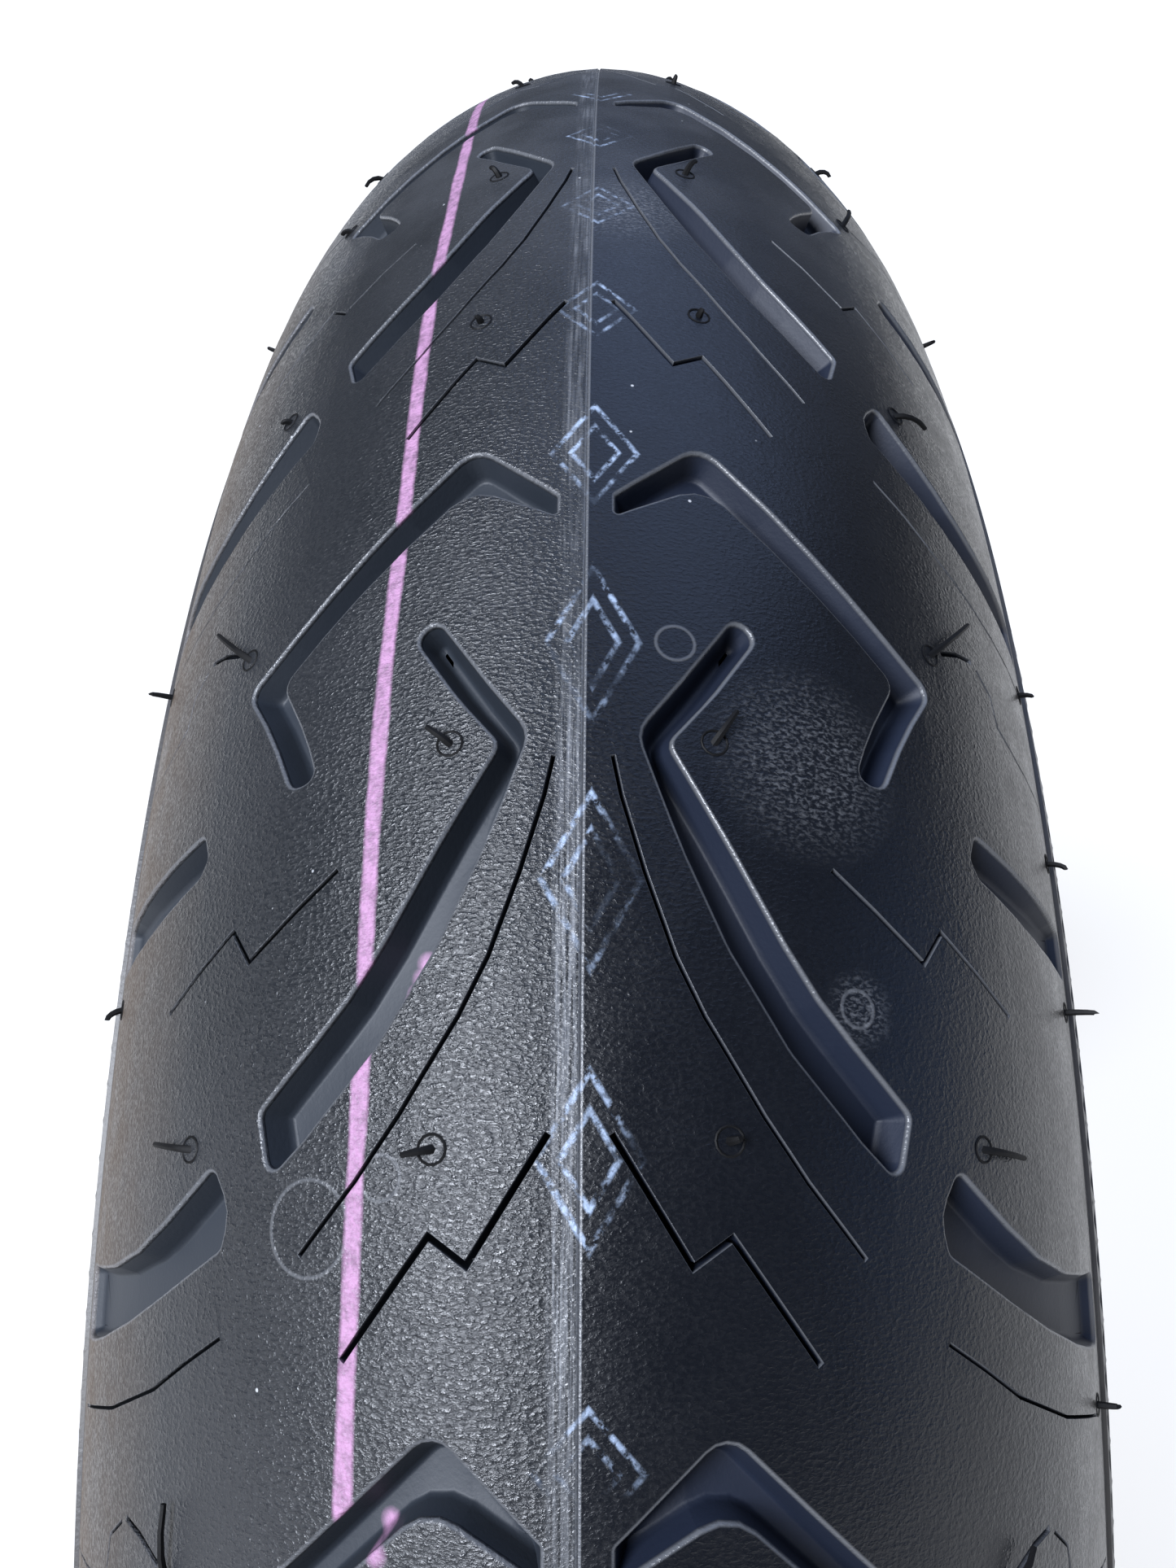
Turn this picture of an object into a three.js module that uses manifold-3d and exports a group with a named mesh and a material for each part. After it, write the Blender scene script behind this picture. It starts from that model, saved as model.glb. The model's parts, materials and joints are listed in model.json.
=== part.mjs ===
// Motorcycle tyre of size 150/80-16, off its rim: a belted cross-ply tyre with a round-crowned,
// grooved tread. The axle lies along Y, +Z is up, and the origin is the centre of the wheel.
// Every piece is a ring about the axle, named for the job it does in the tyre.
// A cross-section point is a Vector2 of (distance from the centre plane, radius), in millimetres.

import * as THREE from "three";
import { mergeVertices } from "three/addons/utils/BufferGeometryUtils.js";
import Module from "manifold-3d";

// The whole tyre
const OUTER_RADIUS = 323;
const SEGMENTS = 34;
const FACET_DOWN = Math.PI / SEGMENTS; // turns the rings so that the tyre stands on a flat facet
const GAP = 0.3; // between neighbouring pieces

// Crown: a superellipse from the centre line to the widest point
const CROWN_HALF_WIDTH = 73.15;
const CROWN_DROP = 73.9;
const CROWN_POWER = 1.847;
const TREAD_EDGE = 91; // measured round the crown from the centre line
const TREAD_EDGE_THICKNESS = 3.5;

// Thicknesses of the layers
const LINER = 1.2;
const PLY = 1.1;
const BELT = 1.0;
const CUSHION_COMPOUND = 1.6;
const BEAD_FABRIC = 0.6;
const CORE_WIDTH = 6.2;
const CHAFER = 0.8;
const RIM_CUSHION = 1.6;

// Bead: where it sits on the rim
const BEAD_OUTER_FACE = 50.8; // half of a 4.00 inch rim
const BEAD_BASE_RADIUS = 202.1;
const BEAD_TAPER = Math.tan(THREE.MathUtils.degToRad(5));
const FLAT_FACE_TOP = 214;
const WRAP_TOP = 213;

// Tread pattern: the same pitch repeats round the tyre and is mirrored about the centre line
const PITCHES = 17;
const PATTERN_START = THREE.MathUtils.degToRad(50); // from +X towards +Z
const GROOVE_DEPTH = 5;
const SHOULDER_GROOVE_DEPTH = 1.8;
const RAMP_START = 62;
const RAMP_END = 80;
const CUTTER_RISE = 4;

const at = (axial, radius) => new THREE.Vector2(axial, radius);

// ---------------------------------------------------------------- cross-section

// Places a run of layers one after the other, and gives each as [near side, far side].
function stackLayers(start, thicknesses) {
  const layers = [];
  let position = start;
  for (const thickness of thicknesses) {
    layers.push([position, position + thickness]);
    position += thickness + GAP;
  }
  return layers;
}

const middle = ([near, far]) => (near + far) / 2;

function crownCurve(steps = 3000) {
  const samples = [{ arc: 0, point: at(0, OUTER_RADIUS) }];
  for (let i = 1; i <= steps; i++) {
    const angle = (i / steps) * (Math.PI / 2);
    const axial = CROWN_HALF_WIDTH * Math.sin(angle) ** (2 / CROWN_POWER);
    const fall = CROWN_DROP * (1 - Math.cos(angle) ** (2 / CROWN_POWER));
    const point = at(axial, OUTER_RADIUS - fall);
    const last = samples[i - 1];
    samples.push({ arc: last.arc + point.distanceTo(last.point), point });
  }
  return samples;
}

const CROWN = crownCurve();

// A point under the crown: arc is measured round it from the centre line, depth inwards.
function crownPoint(arc, depth = 0) {
  const next = Math.max(1, CROWN.findIndex((sample) => sample.arc >= arc));
  const [a, b] = [CROWN[next - 1], CROWN[next]];
  const share = (arc - a.arc) / (b.arc - a.arc);
  const along = b.point.clone().sub(a.point).normalize();
  const inwards = at(along.y, -along.x);
  return a.point.clone().lerp(b.point, share).addScaledVector(inwards, depth);
}

// The inner face of the tyre from the crown to the toe of the bead. Across the centre it is flat.
const BEAD_LAYERS = [LINER, PLY, PLY, BEAD_FABRIC, CORE_WIDTH, BEAD_FABRIC, PLY, CHAFER, RIM_CUSHION];
const beadWidth = BEAD_LAYERS.reduce((sum, layer) => sum + layer + GAP, -GAP);
const BEAD_INNER_FACE = BEAD_OUTER_FACE - beadWidth;
const INNER_FACE = [
  at(16, 303.4),
  crownPoint(58, 17),
  crownPoint(86, 13),
  at(66.6, 251),
  at(BEAD_INNER_FACE, 217),
  at(BEAD_INNER_FACE, 203.4),
];
const BELT_STATION = 1;
const TREAD_STATION = 2;

// Layers counted outwards from the inner face, and across and up the bead.
const [liner, plyInner, plyOuter, beltInner, beltOuter, base] = stackLayers(0, [
  LINER,
  PLY,
  PLY,
  BELT,
  BELT,
  CUSHION_COMPOUND,
]);
const capInside = base[1] + GAP;
const [, plyDown, , wrapInside, coreSpan, wrapOutside, turnUp, chaferSpan, cushionSpan] = stackLayers(
  BEAD_INNER_FACE,
  BEAD_LAYERS,
);
const [cushionFloor, chaferFloor, plyFloor, wrapFloor] = stackLayers(BEAD_BASE_RADIUS, [
  RIM_CUSHION,
  CHAFER,
  PLY,
  BEAD_FABRIC,
]);

// Moves a line sideways by a distance, outwards on a line that runs from the centre to the bead.
function offsetLine(line, distance) {
  const directions = line.slice(1).map((point, i) => point.clone().sub(line[i]).normalize());
  return line.map((point, i) => {
    const before = directions[Math.max(i - 1, 0)];
    const after = directions[Math.min(i, directions.length - 1)];
    const bisector = before.clone().add(after).normalize();
    const mitre = distance / Math.sqrt((1 + before.dot(after)) / 2);
    return point.clone().add(at(-bisector.y, bisector.x).multiplyScalar(mitre));
  });
}

// The part of a line up to a station, which may lie between two of its points.
function lineUpTo(line, station) {
  const whole = Math.floor(station);
  const kept = line.slice(0, whole + 1);
  if (station > whole) {
    kept.push(line[whole].clone().lerp(line[whole + 1], station - whole));
  }
  return kept;
}

const mirrorPoints = (points) => points.map((point) => at(-point.x, point.y));

// A line on one side, continued across the centre plane to the other side.
function throughCentre(halfLine) {
  const otherSide = mirrorPoints(halfLine).reverse();
  return halfLine[0].x === 0 ? [...otherSide, ...halfLine.slice(1)] : [...otherSide, ...halfLine];
}

// The inner face of the tyre on both sides, up to a station on each.
const layerLine = (station) => throughCentre(lineUpTo(INNER_FACE, station));

// The closed outline between two offsets of a line.
function band(line, [near, far]) {
  return [...offsetLine(line, near), ...offsetLine(line, far).reverse()];
}

// ---------------------------------------------------------------- solids

// A ring about the axle with the given closed outline as its section.
function ringGeometry(outline) {
  const section = THREE.ShapeUtils.isClockWise(outline) ? outline : [...outline].reverse();
  const profile = [...section, section[0]].map((point) => new THREE.Vector2(point.y, point.x));
  return new THREE.LatheGeometry(profile, SEGMENTS, FACET_DOWN);
}

function material(color, roughness, metalness = 0) {
  return new THREE.MeshStandardMaterial({ color, roughness, metalness });
}

function piece(name, geometry, finish) {
  const mesh = new THREE.Mesh(geometry, finish);
  mesh.name = name;
  return mesh;
}

const ring = (name, outline, finish) => piece(name, ringGeometry(outline), finish);

// The same ring on both sides. Seen from in front with +Z up, left is -Y and right is +Y.
function ringPair(name, outline, finish) {
  return [
    ring(`${name}_left`, mirrorPoints(outline), finish),
    ring(`${name}_right`, outline, finish),
  ];
}

// ---------------------------------------------------------------- tread

// The grooves of one pitch, on one side. Each row crosses the groove from wall to wall, and a point
// is [arc from the centre line, distance round the tread at the outer radius].
const HOOKED_GROOVE = [
  [[3.6, 83], [3.2, 80]],
  [[15, 92.2], [15, 84.2]],
  [[48.9, 64], [40.8, 62]],
  [[38.8, 46], [35.2, 47.8]],
];
const CRANKED_GROOVE = [
  [[21.3, 62.5], [18.3, 64.3]],
  [[11, 46.9], [6.7, 47.2]],
  [[23.5, 25], [17, 21]],
  [[39.3, 4.5], [35.5, -2]],
];
const SHOULDER_GROOVE = [
  [[46.8, -1], [43.6, -9]],
  [[68, -13.2], [68, -23.2]],
  [[98, -17], [98, -29]],
];

// Full depth over the crown, ramping up to a shallow floor at the shoulder.
function grooveDepth(arc) {
  const ramp = THREE.MathUtils.smoothstep(arc, RAMP_START, RAMP_END);
  return THREE.MathUtils.lerp(GROOVE_DEPTH, SHOULDER_GROOVE_DEPTH, ramp);
}

// A point of the developed tread, bent round the tyre.
function onTread(side, arc, round, depth) {
  const point = crownPoint(arc, depth);
  const turn = PATTERN_START + round / OUTER_RADIUS;
  return [point.y * Math.cos(turn), side * point.x, point.y * Math.sin(turn)];
}

// The solid that cuts one groove: four edges along it, floor and roof, and a cap at each end.
function grooveCutter(rows, side, pitch) {
  const pitchLength = (2 * Math.PI * OUTER_RADIUS) / PITCHES;
  const corners = rows.flatMap((row) => {
    const [first, second] = row.map(([arc, round]) => ({ arc, round: round + pitch * pitchLength }));
    return [
      onTread(side, first.arc, first.round, grooveDepth(first.arc)),
      onTread(side, second.arc, second.round, grooveDepth(second.arc)),
      onTread(side, second.arc, second.round, -CUTTER_RISE),
      onTread(side, first.arc, first.round, -CUTTER_RISE),
    ];
  });
  const triangles = [[0, 1, 2], [0, 2, 3]];
  for (let row = 0; row < rows.length - 1; row++) {
    for (let edge = 0; edge < 4; edge++) {
      const a = 4 * row + edge;
      const b = 4 * row + ((edge + 1) % 4);
      triangles.push([a, a + 4, b], [b, a + 4, b + 4]);
    }
  }
  const end = 4 * (rows.length - 1);
  triangles.push([end, end + 2, end + 1], [end, end + 3, end + 2]);
  const outwards = triangles.map(([a, b, c]) => (side > 0 ? [a, b, c] : [a, c, b]));
  return {
    vertProperties: new Float32Array(corners.flat()),
    triVerts: new Uint32Array(outwards.flat()),
  };
}

const wasm = await Module();
wasm.setup();

function toSolid({ vertProperties, triVerts }) {
  return new wasm.Manifold(new wasm.Mesh({ numProp: 3, vertProperties, triVerts }));
}

function solidOfGeometry(geometry) {
  const bare = geometry.clone();
  bare.deleteAttribute("normal");
  bare.deleteAttribute("uv");
  const merged = mergeVertices(bare, 1e-3);
  return toSolid({
    vertProperties: new Float32Array(merged.attributes.position.array),
    triVerts: new Uint32Array(merged.index.array),
  });
}

function geometryOfSolid(solid) {
  const mesh = solid.getMesh();
  const geometry = new THREE.BufferGeometry();
  geometry.setAttribute("position", new THREE.BufferAttribute(mesh.vertProperties, mesh.numProp));
  geometry.setIndex(new THREE.BufferAttribute(mesh.triVerts, 1));
  geometry.computeVertexNormals();
  return geometry;
}

function treadCapGeometry() {
  const edgeSteps = 4;
  const outside = [];
  for (let i = 0; i <= edgeSteps; i++) {
    outside.push(crownPoint((i / edgeSteps) * TREAD_EDGE));
  }
  const edge = crownPoint(TREAD_EDGE, TREAD_EDGE_THICKNESS);
  const under = offsetLine(layerLine(TREAD_STATION), capInside);
  const inside = [...mirrorPoints([edge]), ...under, edge];
  let cap = solidOfGeometry(ringGeometry([...inside, ...throughCentre(outside).reverse()]));
  for (const outline of [HOOKED_GROOVE, CRANKED_GROOVE, SHOULDER_GROOVE]) {
    for (const side of [-1, 1]) {
      for (let pitch = 0; pitch < PITCHES; pitch++) {
        cap = cap.subtract(toSolid(grooveCutter(outline, side, pitch)));
      }
    }
  }
  return geometryOfSolid(cap);
}

// ---------------------------------------------------------------- the pieces of the tyre

const FINISHES = {
  tread: material(0x2b2d31, 0.75),
  sidewall: material(0x26282b, 0.7),
  innerRubber: material(0x1d1e20, 0.6),
  ply: material(0x8a7f66, 0.9),
  belt: material(0xb9a25e, 0.85),
  steel: material(0xa58a5a, 0.4, 1),
  hardRubber: material(0x33302c, 0.65),
  beadFabric: material(0x6f6a5c, 0.9),
};

const toeStation = INNER_FACE.length - 1;

function bodyPlyInner() {
  const half = offsetLine(layerLine(toeStation), middle(plyInner)).slice(INNER_FACE.length);
  half[toeStation] = at(middle(plyDown), middle(plyFloor));
  half.push(
    at(middle(turnUp), middle(plyFloor)),
    at(middle(turnUp), FLAT_FACE_TOP),
    at(58.5, 233),
  );
  return ring("body_ply_inner", band(throughCentre(half), [-PLY / 2, PLY / 2]), FINISHES.ply);
}

function bodyPlyOuter() {
  const line = [...INNER_FACE];
  line[toeStation] = at(BEAD_INNER_FACE, plyFloor[1] + GAP);
  return ring("body_ply_outer", band(throughCentre(line), plyOuter), FINISHES.ply);
}

// The strip of rubber that fills the step beside the belt edges.
function beltEdgeStrips() {
  const [near, far] = INNER_FACE.slice(BELT_STATION, BELT_STATION + 2);
  const start = near.clone().lerp(far, 0.03);
  const end = near.clone().lerp(far, 0.9);
  return ringPair("belt_edge_strip", band([start, end], [beltInner[0], beltOuter[1]]), FINISHES.hardRubber);
}

// A hexagonal bundle of bead wire with two upright flats.
function beadCores() {
  const corner = CORE_WIDTH / Math.sqrt(3);
  const centre = at(middle(coreSpan), wrapFloor[1] + GAP + corner);
  const outline = [];
  for (let i = 0; i < 6; i++) {
    const turn = Math.PI / 2 + (i * Math.PI) / 3;
    outline.push(at(centre.x + corner * Math.cos(turn), centre.y + corner * Math.sin(turn)));
  }
  return ringPair("bead_core", outline, FINISHES.steel);
}

// The hard wedge that stands on the core, between the ply and its turned-up end.
function beadFillers() {
  const outline = [
    at(coreSpan[0], 213.3),
    at(middle(coreSpan), 215.1),
    at(coreSpan[1], 213.3),
    at(56.4, 232.4),
    at(39.7, 216.2),
  ];
  return ringPair("bead_filler", outline, FINISHES.hardRubber);
}

function beadWraps() {
  const line = [
    at(middle(wrapInside), WRAP_TOP),
    at(middle(wrapInside), middle(wrapFloor)),
    at(middle(wrapOutside), middle(wrapFloor)),
    at(middle(wrapOutside), WRAP_TOP),
  ];
  return ringPair("bead_wrap", band(line, [-BEAD_FABRIC / 2, BEAD_FABRIC / 2]), FINISHES.beadFabric);
}

function chafers() {
  const line = [
    at(middle(chaferSpan), WRAP_TOP),
    at(middle(chaferSpan), middle(chaferFloor)),
    at(plyDown[0], middle(chaferFloor)),
  ];
  return ringPair("chafer", band(line, [-CHAFER / 2, CHAFER / 2]), FINISHES.beadFabric);
}

// The rubber heel and toe that seat on the rim, with the upright face that the flange presses.
function rimCushions() {
  const heel = 1.6;
  const baseAt = (axial) => BEAD_BASE_RADIUS + (axial - middle(coreSpan)) * BEAD_TAPER;
  const toe = BEAD_INNER_FACE + GAP;
  const outline = [
    at(cushionSpan[0], FLAT_FACE_TOP),
    at(cushionSpan[0], cushionFloor[1]),
    at(toe, cushionFloor[1] - GAP - 0.3),
    at(toe, baseAt(toe)),
    at(cushionSpan[1] - heel, baseAt(cushionSpan[1] - heel)),
    at(cushionSpan[1], baseAt(cushionSpan[1]) + heel),
    at(cushionSpan[1], FLAT_FACE_TOP),
  ];
  return ringPair("rim_cushion", outline, FINISHES.innerRubber);
}

// The rubber flank from the edge of the tread to the top of the rim flange.
function sidewalls() {
  const cover = offsetLine(INNER_FACE, plyOuter[1] + GAP);
  const edge = TREAD_EDGE + 2 * GAP;
  const flank = INNER_FACE.slice(TREAD_STATION, TREAD_STATION + 2);
  const wedgeEnd = flank[0].clone().lerp(flank[1], 0.04);
  const wedge = band([wedgeEnd, flank[1]], [plyOuter[1] + GAP, base[1]]);
  const outline = [
    crownPoint(edge),
    at(74, 259),
    at(74.8, 250.5),
    at(72, 240),
    at(63.2, 226.8),
    at(54.2, 219),
    at(BEAD_OUTER_FACE, FLAT_FACE_TOP + GAP),
    at(49.3, FLAT_FACE_TOP + GAP),
    at(59.9, 232.4),
    at(61.2, 238.6),
    cover[3],
    wedge[0],
    wedge[3],
    crownPoint(edge, TREAD_EDGE_THICKNESS + GAP),
  ];
  return ringPair("sidewall", outline, FINISHES.sidewall);
}

const tyre = new THREE.Group();
tyre.add(
  piece("tread_cap", treadCapGeometry(), FINISHES.tread),
  ring("tread_base", band(layerLine(TREAD_STATION), base), FINISHES.hardRubber),
  ring("belt_outer", band(layerLine(BELT_STATION - 0.1), beltOuter), FINISHES.belt),
  ring("belt_inner", band(layerLine(BELT_STATION), beltInner), FINISHES.belt),
  bodyPlyOuter(),
  bodyPlyInner(),
  ring("inner_liner", band(layerLine(toeStation), liner), FINISHES.innerRubber),
  ...beltEdgeStrips(),
  ...sidewalls(),
  ...beadCores(),
  ...beadFillers(),
  ...beadWraps(),
  ...chafers(),
  ...rimCushions(),
);

export default tyre;
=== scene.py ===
import json
import math
import random

import bmesh
import bpy
import numpy as np
from bpy.props import FloatProperty, FloatVectorProperty, PointerProperty
from mathutils import Matrix, Vector
from mathutils.geometry import delaunay_2d_cdt


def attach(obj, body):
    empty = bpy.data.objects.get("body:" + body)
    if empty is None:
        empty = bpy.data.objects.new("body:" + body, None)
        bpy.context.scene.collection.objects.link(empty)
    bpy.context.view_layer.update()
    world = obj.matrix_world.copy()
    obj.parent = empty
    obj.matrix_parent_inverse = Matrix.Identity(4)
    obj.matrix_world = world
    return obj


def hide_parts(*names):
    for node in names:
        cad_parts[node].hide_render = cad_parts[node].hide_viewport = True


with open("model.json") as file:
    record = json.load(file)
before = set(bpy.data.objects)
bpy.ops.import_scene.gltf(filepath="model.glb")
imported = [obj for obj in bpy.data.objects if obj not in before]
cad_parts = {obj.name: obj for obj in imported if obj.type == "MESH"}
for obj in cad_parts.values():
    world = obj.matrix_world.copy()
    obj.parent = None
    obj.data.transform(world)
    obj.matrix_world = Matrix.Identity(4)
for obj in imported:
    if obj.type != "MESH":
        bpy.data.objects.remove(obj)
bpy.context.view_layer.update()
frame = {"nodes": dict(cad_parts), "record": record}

bl_info = {
    "name": "Motorcycle Tire",
    "version": (1, 0, 0),
    "blender": (4, 5, 0),
    "location": "3D View > Sidebar > Tire",
    "description": "Builds a grooved motorcycle tire around its packed layers",
    "category": "Add Mesh",
}

MM = 0.001


def linear(code):
    """A hex sRGB colour as linear numbers, with full opacity."""
    parts = [int(code[i:i + 2], 16) / 255 for i in (0, 2, 4)]
    return (*(c / 12.92 if c <= 0.04045 else ((c + 0.055) / 1.055) ** 2.4 for c in parts), 1.0)


# ---------------------------------------------------------------- what a user would change

def size_setting(name, description, default, low, high):
    return FloatProperty(name=name, description=description, default=default, min=low, max=high,
                         unit="LENGTH", subtype="DISTANCE")


def colour_setting(name, description, code):
    return FloatVectorProperty(name=name, description=description, default=linear(code), size=4,
                               min=0, max=1, subtype="COLOR")


class TireSizes(bpy.types.PropertyGroup):
    groove_depth: size_setting(
        "Groove depth", "Depth of the tread grooves below the land", 0.00411, 0.002, 0.006)
    parting_notch: size_setting(
        "Parting notch", "Depth of the mould's parting line", 0.0003, 0.0, 0.001)
    hair_radius: size_setting(
        "Vent hair radius", "Radius of a vent hair at its root", 0.00055, 0.0002, 0.001)
    ring_height: size_setting(
        "Sidewall ring height", "Height of the rings raised on the sidewalls", 0.0005, 0.0001, 0.0008)
    line_width: size_setting(
        "Paint line width", "Width of the painted line round the tread", 0.0024, 0.001, 0.006)


class TireColours(bpy.types.PropertyGroup):
    # The two land tones are one rubber: the left one is painted light, the right one painted shade and bluer.
    left_land_lit: colour_setting("Left land", "Rubber of the tread's left half", "15171a")
    right_land_shaded: colour_setting("Right land", "Rubber of the tread's right half", "07090e")
    # The groove tones are painted light and a painted blue reflection, darker on the right as painted shade.
    groove: colour_setting("Grooves", "Smooth rubber inside the left half's grooves", "181d24")
    right_groove_shaded_blue: colour_setting("Right grooves", "Smooth rubber inside the right half's grooves", "0b1220")
    dust: colour_setting("Shoulder dust", "Dust that lies on the shoulders", "3f3225")
    scuff: colour_setting("Scuffs", "Pale rubs on the land", "85878b")
    mark: colour_setting("Middle marks", "Worn pale marks down the middle", "9aabc4")
    line: colour_setting("Paint line", "Painted line round the tread", "936d8b")
    sidewall: colour_setting("Sidewall", "Rubber of the sidewalls", "26262a")
    bloom: colour_setting("Sidewall bloom", "Brown bloom on the sidewalls", "3a3733")
    heel: colour_setting("Rim cushions", "Rubber that rubs on the rim", "1c1d1f")
    liner: colour_setting("Inner liner", "Butyl rubber inside the tire", "1d1d1f")
    hair: colour_setting("Vent hairs", "Rubber of the vent hairs", "070708")
    floor: colour_setting("Floor", "Studio floor", "747474")


# ---------------------------------------------------------------- tire shape, in millimetres

OUTER_RADIUS = 323.0
CROWN_HALF_WIDTH, CROWN_DROP, CROWN_POWER = 73.15, 73.9, 1.847
PITCHES = 17
PITCH = 2 * math.pi * OUTER_RADIUS / PITCHES
PATTERN_START = math.radians(50)
SHEET_EDGE = 91.2         # arc length from the middle of the tread to the edge of the cap
FINE_EDGE = 90.2          # where the shoulder grooves end
HOLLOW_RADIUS = 303.4     # inner face of the tire under the crown
CAP_DEPTH = 8.8           # from the inner face of the tire out to the inside of the cap

# The line between two pitches, (across, around): it passes between the grooves.
CELL_LINE = [(0, 97), (12, 96.5), (22, 93), (32, 86.5), (42, 82), (52, 79.5), (62, 78.5), (72, 76), (82, 74),
             (SHEET_EDGE, 74)]

# Groove corners as (across, around, corner radius).
HOOKED_GROOVE = [(3.2, 78.6, 0.9), (15.3, 85.2, 5), (30, 72.5, 60), (42.2, 62.0, 2.2), (37.0, 53.0, 30),
                 (34.2, 46.0, 2.4), (39.1, 45.0, 2.4), (44, 54.5, 40), (50.3, 63.3, 2.6), (40, 71, 60),
                 (30, 79.8, 90), (15.1, 93.5, 3.6), (3.2, 82.9, 0.9)]
CRANKED_GROOVE = [(18.6, 65.9, 2.2), (22.2, 63.0, 2.4), (15.5, 53.0, 30), (10.3, 46.8, 1.5), (14.7, 39.3, 60),
                  (20, 30, 90), (25.3, 20.7, 60), (30, 15, 60), (39.9, 5.2, 1.8), (37.5, -3.2, 1.8),
                  (27.3, 6, 90), (19.3, 16.7, 90), (13.3, 28, 90), (8.9, 39.5, 60), (5.9, 48.2, 4),
                  (11.3, 55.3, 60)]
SHOULDER_GROOVE = [(46.9, -0.4, 1.8), (53.3, -5.3, 60), (60, -10, 60), (68, -13.7, 60), (77, -15.5, 60),
                   (FINE_EDGE, -16.4, 2), (FINE_EDGE, -28.4, 2), (83, -27.5, 30), (70, -24, 60),
                   (56.7, -17.7, 60), (44.2, -10.8, 1.8), (43.0, -6.0, 5)]
NARROW_GROOVE = [(54.4, 39.9, 1.8), (56.3, 44.3, 1.8), (66.7, 42, 60), (80, 39.3, 60), (FINE_EDGE, 38.7, 2),
                 (FINE_EDGE, 29.2, 2), (79, 30, 60), (66.7, 33.5, 60), (56.2, 37.2, 1.8)]
GROOVES = [HOOKED_GROOVE, CRANKED_GROOVE, SHOULDER_GROOVE, NARROW_GROOVE]

# Sipe centre lines with their width.
SIPES = [
    ([(3.4, 45), (4.4, 40), (7, 31), (10.3, 21.5), (13.5, 15), (20, 4.6), (25, -2.3), (32, -10.5)], 0.68),
    ([(3.3, 2.7), (11.8, -10.6), (16.1, -7.8), (25.8, -20.8)], 0.9),
    ([(30, 33.4), (43.4, 23.6), (47, 28.1), (60.5, 19)], 0.78),
    ([(43.5, -20.2), (50, -24), (56.5, -28), (69, -33), (85, -37)], 0.62),
    ([(53.5, 72), (58, 74), (62, 74.8)], 0.95),
]
SCORES = [([(63.2, 74.0), (67, 71), (68, 66), (75, 63), (88, 60.4)], 0.6)]
# (inset, drop) of each step down a groove: rounded rim, drafted wall, rounded floor.
GROOVE_STEPS = [(0.26, 0.07), (0.20, 0.20), (0.10, 0.30), (0.82, 2.70), (0.34, 0.60), (0.38, 0.24)]
SIPE_STEPS = [(0.09, 0.10), (0.02, 4.6)]
SCORE_STEPS = [(0.10, 0.12), (0.05, 0.7)]
# Where the flat sheet is cut so that it can bend: places across, cuts per pitch, and the cuts' reach around.
ACROSS_CUTS = [0.35] + [6 * k for k in range(1, 16)]
AROUND_CUTS = 10
AROUND_REACH = (-50, 100)


def crown_table():
    """Arc length, half-width and radius along the crown curve, which is a squashed ellipse."""
    turn = np.linspace(0, math.pi / 2, 6001)
    y = CROWN_HALF_WIDTH * np.sin(turn) ** (2 / CROWN_POWER)
    r = OUTER_RADIUS - CROWN_DROP * (1 - np.cos(turn) ** (2 / CROWN_POWER))
    arc = np.concatenate([[0], np.cumsum(np.hypot(np.diff(y), np.diff(r)))])
    even = np.linspace(0, arc[-1], 800)
    y, r = np.interp(even, arc, y), np.interp(even, arc, r)
    tilt = np.arctan2(-np.gradient(r, even), np.gradient(y, even))
    tilt[0] = 0
    return even, y, r, tilt


CROWN = crown_table()


def crown(arc, height=0.0):
    """Axial place and radius of points at an arc length from the tread centre, raised by height."""
    side = np.sign(arc) + (np.asarray(arc) == 0)
    far = np.abs(arc)
    y, r, tilt = (np.interp(far, CROWN[0], column) for column in CROWN[1:])
    return side * (y + height * np.sin(tilt)), r + height * np.cos(tilt)


def wrapped(across, around, height):
    """Tread points, given flat in millimetres, laid on the tire, in metres."""
    y, r = crown(across, height)
    turn = PATTERN_START + np.asarray(around) / OUTER_RADIUS
    return np.stack([r * np.cos(turn), y, r * np.sin(turn)], axis=-1) * MM


def depth_share(across):
    """How much of the full groove depth is left, running out on the shoulder."""
    return np.interp(np.abs(across), [0, 60, 72, 80, 87, FINE_EDGE], [1, 1, 0.8, 0.62, 0.5, 0.3])


def rounded(corners, coarsest=22):
    """A closed outline with each corner turned by an arc of its own radius."""
    outline = []
    for i, (x, y, radius) in enumerate(corners):
        here = Vector((x, y))
        back = Vector(corners[i - 1][:2]) - here
        on = Vector(corners[(i + 1) % len(corners)][:2]) - here
        half = back.angle(on) / 2
        reach = min(radius / math.tan(half), 0.47 * back.length, 0.47 * on.length)
        radius = reach * math.tan(half)
        middle = (back.normalized() + on.normalized()).normalized()
        centre = here + middle * radius / math.sin(half)
        start, end = here + back.normalized() * reach - centre, here + on.normalized() * reach - centre
        turn = start.angle_signed(end)
        steps = max(1, round(abs(math.degrees(turn)) / coarsest))
        for k in range(steps + 1):
            spoke = start.copy()
            spoke.rotate(Matrix.Rotation(-turn * k / steps, 2))
            outline.append(tuple(centre + spoke))
    return outline


def ribbon(line, width):
    """The outline of a narrow slot along a line."""
    left, right = [], []
    for i, point in enumerate(line):
        here = Vector(point)
        back = (here - Vector(line[i - 1])).normalized() if i else None
        on = (Vector(line[i + 1]) - here).normalized() if i < len(line) - 1 else None
        way = ((back or on) + (on or back)).normalized()
        mitre = 1 / max(0.4, way.dot(on or back))
        aside = Vector((-way.y, way.x)) * width / 2 * mitre
        left.append(tuple(here + aside))
        right.append(tuple(here - aside))
    return left + right[::-1]


# ---------------------------------------------------------------- modelling helpers

def clear_selection():
    if bpy.context.object and bpy.context.object.mode != "OBJECT":
        bpy.ops.object.mode_set(mode="OBJECT")
    bpy.ops.object.select_all(action="DESELECT")


def make_active(piece):
    clear_selection()
    piece.select_set(True)
    bpy.context.view_layer.objects.active = piece


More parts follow.
